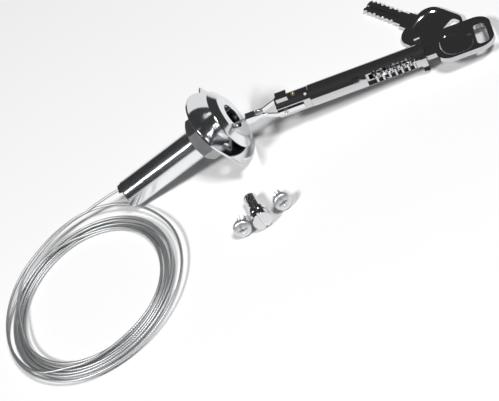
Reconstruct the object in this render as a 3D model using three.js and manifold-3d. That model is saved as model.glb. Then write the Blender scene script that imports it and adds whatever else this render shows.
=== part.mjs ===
// Emergency release lock set for an overhead door, laid out on a table:
// a threaded lock barrel with its face plate and nut, a key-operated lock rod on a steel cable
// that runs back through the barrel into a coil, a spare key, a cable connector and two screws.
// Units are millimetres, +Z is up and the barrel points along +X.
import * as THREE from 'three';
import { mergeVertices } from 'three/addons/utils/BufferGeometryUtils.js';
import Module from 'manifold-3d';

const wasm = await Module();
wasm.setup();

// ---------- driving dimensions ----------
const GAP = 0.3; // clearance between pieces that touch
const TURN = Math.PI * 2;
const deg = THREE.MathUtils.degToRad;

// the rod is what every bore around it is sized for
const ROD_D = 11.6;

// threaded barrel and its flanged head
const BORE_CLEAR = 0.8;
const BARREL_BORE = ROD_D + BORE_CLEAR;
const BARREL_WALL = 1.9;
const THREAD_D = BARREL_BORE + 2 * BARREL_WALL;
const FLAT_DEPTH = 1.3;
const THREAD_FLATS = THREAD_D - 2 * FLAT_DEPTH;
const BARREL_L = 69.3;
const HEAD_BACK_D = 34;
const HEAD_FRONT_D = 24.8;
const HEAD_EDGE_T = 0.8;
const HEAD_H = 3.4;
const MOUTH_STEP = 0.5;
const MOUTH_D = BARREL_BORE + 2 * MOUTH_STEP;
const MOUTH_DEPTH = 5;
const FLAT_TURN = deg(8);
const TIP_NOTCH_W = 6.4;
const TIP_NOTCH_L = 1.8;
const TIP_NOTCH_TURN = deg(53);
const BARREL_TILT = deg(11.8);

// hexagon nut
const NUT_WALL = 2.7;
const NUT_AF = THREAD_D + 2 * NUT_WALL;
const NUT_T = 7.4;
const NUT_BACK = 19.6; // the nut's back face, behind the head
const NUT_AT = BARREL_L - NUT_BACK;
const NUT_ROLL = deg(29);

// face plate, which hangs loose and leans back between nut and head
const PLATE_D = 43.4;
const PLATE_T = 1.2;
const PLATE_EAR = 13.4; // how far the square ears reach beyond the middle line
const PLATE_HOLE_CLEAR = 2.4;
const PLATE_HOLE_D = THREAD_D + PLATE_HOLE_CLEAR;
const PLATE_SCREW_D = 5;
const PLATE_SCREW_PITCH = 30.4;
const PLATE_SCREW_TURN = deg(14.8);
const PLATE_BACK = 5.3; // the plate's middle, behind the head
const PLATE_AT = BARREL_L - PLATE_BACK;
const PLATE_HANG = 0.45;
const PLATE_TILT = deg(25);
const PLATE_YAW = deg(-3.2);
const PLATE_ROLL = deg(-8);

// lock rod: plug, slots, wafers
const TAIL_L = 18;
const PLUG_L = 60.6;
const COLLAR_STEP = 0.7;
const COLLAR_D = ROD_D + 2 * COLLAR_STEP;
const COLLAR_T = 3;
const EAR_H = 1.8;
const EAR_SPAN = COLLAR_D + 2 * EAR_H;
const EAR_W = 3.4;
const EAR_TURN = deg(60);
const KEY_TURN = deg(-8); // roll of the blade plane about the rod
const WAFER_N = 7;
const WAFER_PITCH = 3.27;
const WAFER_LAST = 3.38; // last wafer, back from the collar
const WAFER_T = 1;
const WAFER_W = 7.4;
const WAFER_TRAVEL = 0.7;
const SLOT_CLEAR = 0.3;
const WAFER_RIM = 0.45; // wafer metal left beside the key's window
const WAFER_STEP = 0.6; // where the corner for the spring starts, from the middle line
const SPRING_D = 1;
const SPRING_L = 3.2;
const WINDOW_LEAD = 4.2; // how far the window starts before the first wafer's slot
const WINDOW_W = 7;
const WINDOW_DEPTH = 3.1;

// retainer catch, a small sprung wafer that stands proud of the plug
const CATCH_BACK = 10.2; // back from the first wafer
const CATCH_L = 2.4;
const CATCH_W = 2.6;
const CATCH_DEPTH = 2.4;
const CATCH_PROUD = 0.7;
const CATCH_TRAVEL = 0.6;
const CATCH_TURN = deg(-36);

// tail sleeve with its detent, and the yoke that holds the cable
const TANG_D = 6.4;
const TANG_L = 5.5;
const SLEEVE_STEP = 0.2;
const SLEEVE_D = ROD_D - 2 * SLEEVE_STEP;
const SLEEVE_FLATS = 9.4;
const LUG_FROM = 1.2;
const LUG_L = 6;
const LUG_H = 1.9;
const LUG_W = 5.2;
const BALL_D = 2.6;
const BALL_AT = 10.1;
const BALL_PROUD = 0.7;
const BALL_TRAVEL = 0.6;
const BALL_SPRING_D = 1.8;
const BALL_SPRING_L = 3.2;
const PIN_D = 1.5;
const PIN_AT = 16.2;
const PIN_TURN = deg(-61);
const ARM_T = 0.7;
const ARM_H = 2.4;
const ARM_END = 14;
const ARM_LIFT = 0.4; // middle of the arms, above the rod's middle line
const ARM_BEND_L = 8;
const YOKE_NECK_L = 17.2;
const YOKE_NECK_W = 4.4;
const BRIDGE_L = 5.2;
const BRIDGE_H = 3.8;
const YOKE_PIN_D = 1.4;
const YOKE_PIN_AT = 4.2;
const STOP_D = 2.4;
const STOP_L = 4;

// keys
const BLADE_W = 7.6;
const BLADE_T = 2.5;
const BLADE_PAST = 2.6; // how far the blade reaches past the first wafer
const BOW_W = 26.4;
const BOW_L = 29.4;
const BLADE_CUTS = [0.9, 0.5, 1.1, 0.4, 0.9, 0.6, 1];
const BLADE_POINT = 1.2; // length of the taper at the blade's tip
const BOW_CORNER_R = 8;
const NECK_W = 9.8;
const NECK_L = 5;
const BOW_SLOT_W = 16.5;
const BOW_SLOT_H = 6;
const BOW_SLOT_SHIFT = -1.9; // off the key's middle line, so the bow has a left and a right
const BOW_SLOT_AT = 23.6; // middle of the slot, from the start of the bow

// cable
const CABLE_D = 1.5;
const COIL_R_OUT = 52;
const COIL_R_IN = 38;
const COIL_H = 6.6;

// connector and screws
const BODY_D = 7.2;
const BODY_L = 12.9;
const FLANGE_D = 10;
const FLANGE_T = 3.5;
const CROSS_D = 2;
const CROSS_AT = 4.4;
const CLAMP_D = 4.2;
const CLAMP_HEAD_T = 3.4;
const CLAMP_L = 8;
const CLAMP_GAP = 1;
const DRIVE_SLOT_W = 1.3;
const DRIVE_DEPTH = 1.2;
const SCREW_HEAD_D = 9.4;
const SCREW_HEAD_T = 3;
const SCREW_D = 4.8;
const SCREW_L = 9;

// where the pieces lie on the table
const LAYOUT_CENTRE = new THREE.Vector3(41.2, 33.5, 0);
const BARREL_TIP = [-61, 36.8];
const ROD_OFF_MOUTH = new THREE.Vector3(3.736, -0.3, -5.796); // yoke's end, from the barrel's mouth
const ROD_WAY = new THREE.Vector3(96.8, -8.9, -8.4); // from the yoke towards the key
const ROD_NECK = 18;
const SPARE_TIP = [91.6, 89.8];
const SPARE_AIM = deg(-58.2);
const CONNECTOR_AT = [1.5, -2.5];
const CONNECTOR_YAW = deg(-78.8);
const SCREW_1_AT = [-5.7, -21.9];
const SCREW_1_YAW = deg(90);
const SCREW_2_AT = [18, -17.6];
const SCREW_2_YAW = deg(106);
const COIL_BESIDE = 39.8; // the coil's middle, beyond the barrel's side
const COIL_AT = [-91.3, BARREL_TIP[1] - THREAD_D / 2 - COIL_BESIDE];
const CABLE_POINTS = [
  [14.3, 36.46, 16.97],
  [11.6, 36.6, 17.35],
  [6, 36.7, 17.15],
  [-1, 36.9, 15.8],
  [-15, 37.2, 13],
  [-32, 38, 11.6],
  [-46, 39.2, 11.5],
  [-60.4, 40.2, 11.2],
  [-70, 41.1, 10],
  [-80, 41.8, 8],
  [-87.5, 41.6, 6.4],
];

// ---------- solid helpers ----------
function solidOf(geometry) {
  const bare = new THREE.BufferGeometry();
  bare.setAttribute('position', geometry.getAttribute('position'));
  if (geometry.index) bare.setIndex(geometry.index);
  const merged = mergeVertices(bare, 1e-5);
  const index = merged.index.array;
  const triangles = [];
  for (let i = 0; i < index.length; i += 3) {
    const [a, b, c] = [index[i], index[i + 1], index[i + 2]];
    if (a !== b && b !== c && c !== a) triangles.push(a, b, c);
  }
  return new wasm.Manifold(
    new wasm.Mesh({
      numProp: 3,
      vertProperties: new Float32Array(merged.getAttribute('position').array),
      triVerts: new Uint32Array(triangles),
    }),
  );
}

function geometryOf(solid) {
  const mesh = solid.getMesh();
  const geometry = new THREE.BufferGeometry();
  geometry.setAttribute('position', new THREE.BufferAttribute(new Float32Array(mesh.vertProperties), 3));
  geometry.setIndex(new THREE.BufferAttribute(new Uint32Array(mesh.triVerts), 1));
  geometry.computeVertexNormals();
  return geometry;
}

// A turned solid about +X from [x, radius] points that start and end on the axis.
function turned(points, sides = 40) {
  const lathe = new THREE.LatheGeometry(
    points.map(([x, r]) => new THREE.Vector2(r, x)),
    sides,
  );
  return solidOf(lathe.rotateZ(-TURN / 4));
}

function rod(from, to, diameter, sides = 32) {
  const r = diameter / 2;
  return turned([[from, 0], [from, r], [to, r], [to, 0]], sides);
}

function block(x, y, z, at = [0, 0, 0]) {
  return solidOf(new THREE.BoxGeometry(x, y, z).translate(...at));
}

// A flat outline in XY, thick from z = 0 to z = thickness.
function sheet(shape, thickness, curveSegments = 12) {
  return solidOf(
    new THREE.ExtrudeGeometry(shape, { depth: thickness, bevelEnabled: false, curveSegments }),
  );
}

function turnX(solid, angle) {
  return solid.rotate([THREE.MathUtils.radToDeg(angle), 0, 0]);
}

function upright(solid) {
  return solid.rotate([0, -90, 0]);
}

function roundedRect(width, height, radius) {
  const [w, h] = [width / 2, height / 2];
  const shape = new THREE.Shape();
  shape.moveTo(-w + radius, -h);
  shape.lineTo(w - radius, -h);
  shape.absarc(w - radius, -h + radius, radius, -TURN / 4, 0, false);
  shape.lineTo(w, h - radius);
  shape.absarc(w - radius, h - radius, radius, 0, TURN / 4, false);
  shape.lineTo(-w + radius, h);
  shape.absarc(-w + radius, h - radius, radius, TURN / 4, TURN / 2, false);
  shape.lineTo(-w, -h + radius);
  shape.absarc(-w + radius, -h + radius, radius, TURN / 2, TURN * 0.75, false);
  return shape;
}

// ---------- materials ----------
function metal(color, roughness) {
  return new THREE.MeshStandardMaterial({ color, roughness, metalness: 1 });
}
const chrome = metal(0xc9cbce, 0.12);
const nickel = metal(0x9a9a9c, 0.18);
const steel = metal(0xb4b6b9, 0.35);
const brass = metal(0xb89a5a, 0.3);

const part = new THREE.Group();
const layout = new THREE.Group();
layout.position.copy(LAYOUT_CENTRE).negate();
part.add(layout);

function add(parent, name, solid, material) {
  const mesh = new THREE.Mesh(geometryOf(solid), material);
  mesh.name = name;
  parent.add(mesh);
  return mesh;
}

// ---------- barrel: +X runs from the tip to the mouth ----------
const barrelGroup = new THREE.Group();
barrelGroup.position.set(...BARREL_TIP, (THREAD_D / 2) * Math.cos(BARREL_TILT));
barrelGroup.rotation.y = -BARREL_TILT;
layout.add(barrelGroup);

function threadedBarrel() {
  const headFront = BARREL_L + HEAD_H;
  const flats = turnX(block(BARREL_L * 3, THREAD_FLATS, THREAD_D * 2), FLAT_TURN);
  const shank = rod(0, BARREL_L + HEAD_EDGE_T / 2, THREAD_D, 48).intersect(flats);
  const head = turned(
    [
      [BARREL_L, 0],
      [BARREL_L, HEAD_BACK_D / 2],
      [BARREL_L + HEAD_EDGE_T, HEAD_BACK_D / 2],
      [headFront, HEAD_FRONT_D / 2],
      [headFront, 0],
    ],
    56,
  );
  const bore = rod(-1, headFront + 1, BARREL_BORE, 40);
  const mouth = rod(headFront - MOUTH_DEPTH, headFront + 1, MOUTH_D, 40);
  const notch = turnX(block(TIP_NOTCH_L * 2, TIP_NOTCH_W, THREAD_D * 2), TIP_NOTCH_TURN);
  return shank
    .add(head)
    .subtract(bore)
    .subtract(mouth)
    .subtract(notch)
    .subtract(turnX(notch, TURN / 4));
}

function hexNut() {
  const hexagon = new THREE.Shape();
  const corner = NUT_AF / Math.sqrt(3);
  for (let i = 0; i < 6; i += 1) {
    const angle = (i / 6) * TURN;
    const [x, y] = [corner * Math.cos(angle), corner * Math.sin(angle)];
    if (i === 0) hexagon.moveTo(x, y);
    else hexagon.lineTo(x, y);
  }
  hexagon.closePath();
  const prism = sheet(hexagon, NUT_T).rotate([0, 90, 0]);
  const chamfer = turned(
    [[0, 0], [0, NUT_AF / 2], [1, corner], [NUT_T - 1, corner], [NUT_T, NUT_AF / 2], [NUT_T, 0]],
    48,
  );
  const hole = rod(-1, NUT_T + 1, THREAD_D + 2 * GAP, 40);
  return turnX(prism.intersect(chamfer), NUT_ROLL).subtract(hole).translate([NUT_AT, 0, 0]);
}

// A disc with two square ears, opposite each other, in its own XY plane.
function facePlate() {
  const r = PLATE_D / 2;
  const disc = new THREE.Shape();
  disc.absarc(0, 0, r, 0, TURN, false);
  const earL = r / 2;
  const ear = block(earL, PLATE_EAR, PLATE_T, [r - earL / 2, PLATE_EAR / 2, PLATE_T / 2]);
  let plate = sheet(disc, PLATE_T, 28).add(ear).add(ear.rotate([0, 0, 180]));
  plate = plate.subtract(upright(rod(-1, PLATE_T + 1, PLATE_HOLE_D, 40)));
  const screwHole = upright(rod(-1, PLATE_T + 1, PLATE_SCREW_D, 20));
  for (const side of [0, TURN / 2]) {
    const angle = PLATE_SCREW_TURN + side;
    const reach = PLATE_SCREW_PITCH / 2;
    plate = plate.subtract(
      screwHole.translate([reach * Math.cos(angle), reach * Math.sin(angle), 0]),
    );
  }
  return plate.translate([0, 0, -PLATE_T / 2]);
}

add(barrelGroup, 'threaded_barrel', threadedBarrel(), chrome);
add(barrelGroup, 'hex_nut', hexNut(), nickel);

const plate = add(layout, 'face_plate', facePlate(), chrome);
const plateOut = new THREE.Vector3(
  Math.cos(PLATE_TILT) * Math.cos(PLATE_YAW),
  Math.cos(PLATE_TILT) * Math.sin(PLATE_YAW),
  Math.sin(PLATE_TILT),
);
const plateSide = new THREE.Vector3(0, 0, 1).cross(plateOut).normalize();
const plateUp = plateOut.clone().cross(plateSide);
plate.setRotationFromMatrix(new THREE.Matrix4().makeBasis(plateSide, plateUp, plateOut));
plate.rotateZ(PLATE_ROLL);
plate.position
  .set(PLATE_AT * Math.cos(BARREL_TILT), 0, PLATE_AT * Math.sin(BARREL_TILT) - PLATE_HANG)
  .add(barrelGroup.position);

// ---------- lock rod: +X runs from the tail to the key ----------
const barrelAim = new THREE.Vector3(Math.cos(BARREL_TILT), 0, Math.sin(BARREL_TILT));
const rodStart = barrelGroup.position
  .clone()
  .addScaledVector(barrelAim, BARREL_L + HEAD_H)
  .add(ROD_OFF_MOUTH);
const rodAim = ROD_WAY.clone().normalize();
const rodSide = new THREE.Vector3(0, 0, 1).cross(rodAim).normalize();
const rodGroup = new THREE.Group();
rodGroup.position.copy(rodStart).addScaledVector(rodAim, ROD_NECK);
rodGroup.setRotationFromMatrix(
  new THREE.Matrix4().makeBasis(rodAim, rodSide, rodAim.clone().cross(rodSide)),
);
layout.add(rodGroup);

// What lies in the blade plane: +Y runs across the blade and +Z through its thickness.
const bladeGroup = new THREE.Group();
bladeGroup.rotation.x = KEY_TURN;
rodGroup.add(bladeGroup);

const ROD_L = TAIL_L + PLUG_L;
const SLOT_T = WAFER_T + 2 * SLOT_CLEAR;
const SLOT_W = WAFER_W + 2 * SLOT_CLEAR;
const waferAt = (i) => ROD_L - COLLAR_T - WAFER_LAST - (WAFER_N - 1 - i) * WAFER_PITCH;
const BLADE_L = ROD_L + GAP - waferAt(0) + BLADE_PAST;
const CATCH_AT = waferAt(0) - CATCH_BACK;
const WAFER_SHOULDER = BLADE_T / 2 + GAP + WAFER_RIM;
const crossRod = (length, diameter) =>
  rod(-length / 2, length / 2, diameter, 16).rotate([0, 0, 90]);
const pinHole = () =>
  turnX(crossRod(ROD_D * 2, PIN_D + 2 * GAP), PIN_TURN).translate([PIN_AT, 0, 0]);

function lockPlug() {
  const shank = rod(TAIL_L, ROD_L, ROD_D, 36);
  const tang = rod(TAIL_L - TANG_L, TAIL_L + 1, TANG_D, 24);
  const collar = rod(ROD_L - COLLAR_T, ROD_L, COLLAR_D, 36);
  const ears = turnX(block(COLLAR_T, EAR_SPAN, EAR_W, [ROD_L - COLLAR_T / 2, 0, 0]), EAR_TURN);
  const keywayL = BLADE_L + 2;
  let cuts = block(
    keywayL,
    BLADE_W + 2 * GAP,
    BLADE_T + 2 * GAP,
    [ROD_L + 1 - keywayL / 2, 0, 0],
  );
  for (let i = 0; i < WAFER_N; i += 1) {
    cuts = cuts.add(block(SLOT_T, ROD_D * 2, SLOT_W, [waferAt(i), 0, 0]));
  }
  const windowFrom = waferAt(0) - SLOT_T / 2 - WINDOW_LEAD;
  const windowL = waferAt(WAFER_N - 1) + SLOT_T / 2 - windowFrom;
  cuts = cuts.add(
    block(windowL, WINDOW_DEPTH * 2, WINDOW_W, [windowFrom + windowL / 2, -ROD_D / 2, 0]),
  );
  const catchWell = block(
    CATCH_L + 2 * GAP,
    (CATCH_DEPTH + CATCH_TRAVEL) * 2,
    CATCH_W + 2 * GAP,
    [CATCH_AT, -ROD_D / 2, 0],
  );
  return shank
    .add(tang)
    .add(collar)
    .add(ears)
    .subtract(turnX(cuts, KEY_TURN))
    .subtract(turnX(catchWell, CATCH_TURN))
    .subtract(pinHole());
}

function retainerCatch() {
  const depth = CATCH_DEPTH - GAP + CATCH_PROUD;
  const middle = CATCH_DEPTH - GAP - depth / 2 - ROD_D / 2;
  return turnX(block(CATCH_L, depth, CATCH_W, [CATCH_AT, middle, 0]), CATCH_TURN);
}

// The well for the detent ball opens at the top of the sleeve.
const BALL_Z = SLEEVE_D / 2 + BALL_PROUD - BALL_D / 2;
const SPRING_TOP = BALL_Z - BALL_D / 2 - BALL_TRAVEL - GAP;
const WELL_FLOOR = SPRING_TOP - BALL_SPRING_L - GAP;

function tailSleeve() {
  const lugBase = SLEEVE_D / 2 - 2;
  const lugH = SLEEVE_D / 2 + LUG_H - lugBase;
  const lug = block(LUG_L, LUG_W, lugH, [LUG_FROM + LUG_L / 2, 0, lugBase + lugH / 2]);
  const flats = block(TAIL_L * 3, SLEEVE_FLATS, SLEEVE_D * 2);
  const well = upright(rod(WELL_FLOOR, SLEEVE_D, BALL_D + 2 * GAP, 20)).translate([BALL_AT, 0, 0]);
  return rod(0, TAIL_L - GAP, SLEEVE_D, 36)
    .intersect(flats)
    .add(lug)
    .subtract(rod(TAIL_L - TANG_L - GAP, TAIL_L + 1, TANG_D + 2 * GAP, 24))
    .subtract(pinHole())
    .subtract(crossRod(SLEEVE_D * 2, YOKE_PIN_D + 2 * GAP).translate([YOKE_PIN_AT, 0, ARM_LIFT]))
    .subtract(well);
}

function tailPin() {
  return turnX(crossRod(SLEEVE_D + 0.4, PIN_D), PIN_TURN).translate([PIN_AT, 0, 0]);
}

function detentSpring() {
  return upright(rod(SPRING_TOP - BALL_SPRING_L, SPRING_TOP, BALL_SPRING_D, 12)).translate([
    BALL_AT,
    0,
    0,
  ]);
}

function detentBall() {
  return solidOf(new THREE.SphereGeometry(BALL_D / 2, 16, 10)).translate([BALL_AT, 0, BALL_Z]);
}

// Two flat arms run along the sleeve's flats, close in behind it and meet in a bridge
// that the cable passes through.
const ARM_IN = SLEEVE_FLATS / 2 + GAP;

function cableYoke() {
  const out = ARM_IN + ARM_T;
  const neckOut = YOKE_NECK_W / 2;
  const neckIn = neckOut - ARM_T;
  const plan = new THREE.Shape();
  plan.moveTo(-YOKE_NECK_L, -neckOut);
  plan.lineTo(-ARM_BEND_L, -neckOut);
  plan.lineTo(-GAP, -out);
  plan.lineTo(ARM_END, -out);
  plan.lineTo(ARM_END, -ARM_IN);
  plan.lineTo(0, -ARM_IN);
  plan.lineTo(-ARM_BEND_L + GAP, -neckIn);
  plan.lineTo(BRIDGE_L - YOKE_NECK_L, -neckIn);
  plan.lineTo(BRIDGE_L - YOKE_NECK_L, neckIn);
  plan.lineTo(-ARM_BEND_L + GAP, neckIn);
  plan.lineTo(0, ARM_IN);
  plan.lineTo(ARM_END, ARM_IN);
  plan.lineTo(ARM_END, out);
  plan.lineTo(-GAP, out);
  plan.lineTo(-ARM_BEND_L, neckOut);
  plan.lineTo(-YOKE_NECK_L, neckOut);
  const bridge = block(BRIDGE_L, YOKE_NECK_W, BRIDGE_H, [BRIDGE_L / 2 - YOKE_NECK_L, 0, 0]);
  const bore = rod(-YOKE_NECK_L - 1, BRIDGE_L - YOKE_NECK_L + 1, CABLE_D + 2 * GAP, 16);
  const pinHoles = crossRod(SLEEVE_D * 2, YOKE_PIN_D + 2 * GAP);
  return sheet(plan, ARM_H)
    .translate([0, 0, ARM_LIFT - ARM_H / 2])
    .add(bridge)
    .subtract(bore)
    .subtract(pinHoles.translate([YOKE_PIN_AT, 0, ARM_LIFT]));
}

function yokePin() {
  const length = 2 * (ARM_IN + ARM_T);
  return crossRod(length, YOKE_PIN_D).translate([YOKE_PIN_AT, 0, ARM_LIFT]);
}

// The swaged stop, with the short end of cable that reaches back through the bridge.
function cableStop() {
  const from = BRIDGE_L - YOKE_NECK_L + GAP;
  return rod(-YOKE_NECK_L, from + 1, CABLE_D, 12).add(rod(from, from + STOP_L, STOP_D, 16));
}

const WAFER_WINDOW_W = BLADE_W + 2 * (WAFER_TRAVEL + GAP);

// Wafers stand across the rod. Every second one faces the other way, with its spring.
function wafer(side) {
  const outer = block(WAFER_T, ROD_D * 2, WAFER_W).intersect(
    rod(-WAFER_T, WAFER_T, ROD_D - 0.2, 36),
  );
  const hole = block(WAFER_T * 2, WAFER_WINDOW_W, BLADE_T + 2 * GAP);
  const step = block(WAFER_T * 2, ROD_D, WAFER_W, [
    0,
    -side * (WAFER_STEP + ROD_D / 2),
    side * (WAFER_SHOULDER + WAFER_W / 2),
  ]);
  return outer.subtract(hole).subtract(step);
}

function waferSpring(side) {
  const middle = WAFER_STEP + GAP + SPRING_L / 2;
  return rod(-SPRING_L / 2, SPRING_L / 2, SPRING_D, 10)
    .rotate([0, 0, 90])
    .translate([0, -side * middle, side * (WAFER_SHOULDER + GAP + SPRING_D / 2)]);
}

add(rodGroup, 'lock_plug', lockPlug(), nickel);
add(rodGroup, 'retainer_catch', retainerCatch(), nickel);
add(rodGroup, 'tail_sleeve', tailSleeve(), nickel);
add(rodGroup, 'tail_pin', tailPin(), steel);
add(rodGroup, 'detent_spring', detentSpring(), steel);
add(rodGroup, 'detent_ball', detentBall(), brass);
add(rodGroup, 'cable_yoke', cableYoke(), chrome);
add(rodGroup, 'yoke_pin', yokePin(), steel);
add(rodGroup, 'cable_stop', cableStop(), steel);
for (let i = 0; i < WAFER_N; i += 1) {
  const side = i % 2 === 0 ? -1 : 1;
  add(bladeGroup, `wafer_${i + 1}`, wafer(side).translate([waferAt(i), 0, 0]), nickel);
  add(bladeGroup, `wafer_spring_${i + 1}`, waferSpring(side).translate([waferAt(i), 0, 0]), steel);
}

// ---------- keys: +X runs from the blade's shoulder to the end of the bow ----------
function keyBlank() {
  const half = BLADE_W / 2;
  const blade = new THREE.Shape();
  const cutAt = (i) => waferAt(i) - ROD_L - GAP;
  blade.moveTo(1, -half);
  blade.lineTo(1, half);
  for (let i = WAFER_N - 1; i >= 0; i -= 1) {
    const at = cutAt(i);
    blade.lineTo(at + 1.3, half);
    blade.lineTo(at + 0.4, half - BLADE_CUTS[i]);
    blade.lineTo(at - 0.4, half - BLADE_CUTS[i]);
    blade.lineTo(at - 1.3, half);
  }
  blade.lineTo(-BLADE_L + BLADE_POINT, half);
  blade.lineTo(-BLADE_L + BLADE_POINT / 3, half - 0.8);
  blade.lineTo(-BLADE_L, half - 2);
  blade.lineTo(-BLADE_L, -half + 2);
  blade.lineTo(-BLADE_L + BLADE_POINT / 3, -half + 0.8);
  blade.lineTo(-BLADE_L + BLADE_POINT, -half);
  for (let i = 0; i < WAFER_N; i += 1) {
    const at = cutAt(i);
    const cut = BLADE_CUTS[WAFER_N - 1 - i];
    blade.lineTo(at - 1.3, -half);
    blade.lineTo(at - 0.4, -half + cut);
    blade.lineTo(at + 0.4, -half + cut);
    blade.lineTo(at + 1.3, -half);
  }
  const neck = block(NECK_L + 2, NECK_W, BLADE_T, [(NECK_L + 2) / 2, 0, BLADE_T / 2]);
  const bow = sheet(roundedRect(BOW_L, BOW_W, BOW_CORNER_R), BLADE_T, 8).translate([
    NECK_L + BOW_L / 2,
    0,
    0,
  ]);
  const slot = sheet(roundedRect(BOW_SLOT_H, BOW_SLOT_W, 2), BLADE_T * 3, 4).translate([
    NECK_L + BOW_SLOT_AT,
    BOW_SLOT_SHIFT,
    -BLADE_T,
  ]);
  return sheet(blade, BLADE_T).add(neck).add(bow).subtract(slot);
}

add(
  bladeGroup,
  'key',
  keyBlank().translate([ROD_L + GAP, 0, -BLADE_T / 2]),
  nickel,
);

const spareKey = add(
  layout,
  'spare_key',
  keyBlank().mirror([0, 1, 0]).translate([BLADE_L, 0, 0]),
  nickel,
);
spareKey.position.set(...SPARE_TIP, 0);
spareKey.rotation.z = SPARE_AIM;

// ---------- cable connector: +X runs from its closed end to the screw's face ----------
const connectorGroup = new THREE.Group();
const connectorTilt = Math.atan2((FLANGE_D - BODY_D) / 2, BODY_L);
connectorGroup.position.set(...CONNECTOR_AT, (BODY_D / 2) * Math.cos(connectorTilt));
connectorGroup.rotation.set(0, -connectorTilt, CONNECTOR_YAW, 'ZYX');
layout.add(connectorGroup);

const BODY_FACE = BODY_L + FLANGE_T;
const CLAMP_FROM = BODY_FACE + CLAMP_GAP - CLAMP_L;

function connectorBody() {
  const chamfer = 0.4;
  const [r, flange] = [BODY_D / 2, FLANGE_D / 2];
  return turned(
    [
      [0, 0],
      [0, r - chamfer],
      [chamfer, r],
      [BODY_L, r],
      [BODY_L, flange],
      [BODY_FACE - chamfer, flange],
      [BODY_FACE, flange - chamfer],
      [BODY_FACE, 0],
    ],
    36,
  )
    .subtract(rod(CROSS_AT - CROSS_D, BODY_FACE + 1, CLAMP_D + 2 * GAP, 24))
    .subtract(upright(rod(-BODY_D, BODY_D, CROSS_D, 16)).translate([CROSS_AT, 0, 0]));
}

function clampScrew() {
  const seat = BODY_FACE + CLAMP_GAP;
  const face = seat + CLAMP_HEAD_T;
  return rod(CLAMP_FROM, seat + 1, CLAMP_D, 20)
    .add(rod(seat, face, FLANGE_D, 36))
    .subtract(block(DRIVE_DEPTH * 2, DRIVE_SLOT_W, FLANGE_D * 2, [face, 0, 0]));
}

add(connectorGroup, 'connector_body', connectorBody(), chrome);
add(connectorGroup, 'clamp_screw', clampScrew(), chrome);

// ---------- screws: +X runs from the head's face to the point ----------
function mountingScrew() {
  const r = SCREW_HEAD_D / 2;
  const l = SCREW_HEAD_T + SCREW_L;
  const arm = block(DRIVE_DEPTH * 2, SCREW_HEAD_D * 0.52, DRIVE_SLOT_W);
  return turned(
    [
      [0, 0],
      [0, r * 0.3],
      [0.4, r * 0.68],
      [1.2, r * 0.93],
      [2, r],
      [SCREW_HEAD_T, r],
      [SCREW_HEAD_T, SCREW_D / 2],
      [l - 1, SCREW_D / 2],
      [l, SCREW_D / 2 - 1],
      [l, 0],
    ],
    32,
  )
    .subtract(arm)
    .subtract(arm.rotate([90, 0, 0]));
}

const screwTilt = Math.atan2((SCREW_HEAD_D - SCREW_D) / 2, SCREW_L - 1);
const screwLift =
  SCREW_HEAD_T * Math.sin(screwTilt) + (SCREW_HEAD_D / 2) * Math.cos(screwTilt);
for (const [name, at, yaw] of [
  ['mounting_screw_1', SCREW_1_AT, SCREW_1_YAW],
  ['mounting_screw_2', SCREW_2_AT, SCREW_2_YAW],
]) {
  const screw = add(layout, name, mountingScrew(), steel);
  screw.position.set(...at, screwLift);
  screw.rotation.set(0, screwTilt, yaw, 'ZYX');
}

// ---------- cable: the lead through the barrel, and the coil's outer shape ----------
function cableLead() {
  const section = new THREE.Shape();
  section.absarc(0, 0, CABLE_D / 2, 0, TURN, false);
  const route = new THREE.CatmullRomCurve3(CABLE_POINTS.map((p) => new THREE.Vector3(...p)));
  const steps = Math.round(route.getLength() / (2.5 * CABLE_D));
  return solidOf(
    new THREE.ExtrudeGeometry(section, { extrudePath: route, steps, curveSegments: 8 }),
  );
}

function cableCoil() {
  const profile = [
    [COIL_R_IN, 1.2],
    [COIL_R_IN + 1.2, 0],
    [COIL_R_OUT - 1.2, 0],
    [COIL_R_OUT, 1.2],
    [COIL_R_OUT, COIL_H - 2],
    [COIL_R_OUT - 3, COIL_H],
    [COIL_R_IN + 3, COIL_H],
    [COIL_R_IN, COIL_H - 2],
    [COIL_R_IN, 1.2],
  ];
  const ring = new THREE.LatheGeometry(profile.map(([r, z]) => new THREE.Vector2(r, z)), 72);
  return solidOf(ring.rotateX(TURN / 4)).translate([...COIL_AT, 0]);
}

add(layout, 'cable_lead', cableLead(), steel);
add(layout, 'cable_coil', cableCoil(), steel);

export default part;
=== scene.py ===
"""Emergency release lock set for an overhead door, laid out on a pale table.

The set is a threaded barrel with its nut and face plate, a key-operated lock rod on a steel cable,
a spare key, a cable connector and two mounting screws. Sizes are in millimetres unless a name says
otherwise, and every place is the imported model's own, in one frame with +Z up.
"""

import math

import bmesh
import bpy
import numpy as np
from mathutils import Matrix, Vector


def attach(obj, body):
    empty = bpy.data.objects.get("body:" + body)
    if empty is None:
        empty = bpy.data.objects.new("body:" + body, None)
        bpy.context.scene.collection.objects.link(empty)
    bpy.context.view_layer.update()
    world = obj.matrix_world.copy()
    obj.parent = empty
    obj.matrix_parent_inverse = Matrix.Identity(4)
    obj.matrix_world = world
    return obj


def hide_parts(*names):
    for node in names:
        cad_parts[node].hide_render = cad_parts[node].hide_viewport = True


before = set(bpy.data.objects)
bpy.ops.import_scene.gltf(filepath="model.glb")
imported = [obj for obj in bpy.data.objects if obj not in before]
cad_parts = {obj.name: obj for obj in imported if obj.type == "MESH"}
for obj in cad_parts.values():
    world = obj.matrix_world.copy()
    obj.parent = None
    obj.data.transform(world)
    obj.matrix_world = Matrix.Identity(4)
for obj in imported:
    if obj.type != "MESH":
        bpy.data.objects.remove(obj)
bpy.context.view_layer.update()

bl_info = {
    "name": "Release lock set",
    "version": (1, 0, 0),
    "blender": (4, 5, 0),
    "location": "View3D > Sidebar > Lock set",
    "description": "Makes the fine surfaces and finishes of an emergency release lock set",
    "category": "Object",
}

MM = 0.001
TURN = 2 * math.pi


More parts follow.
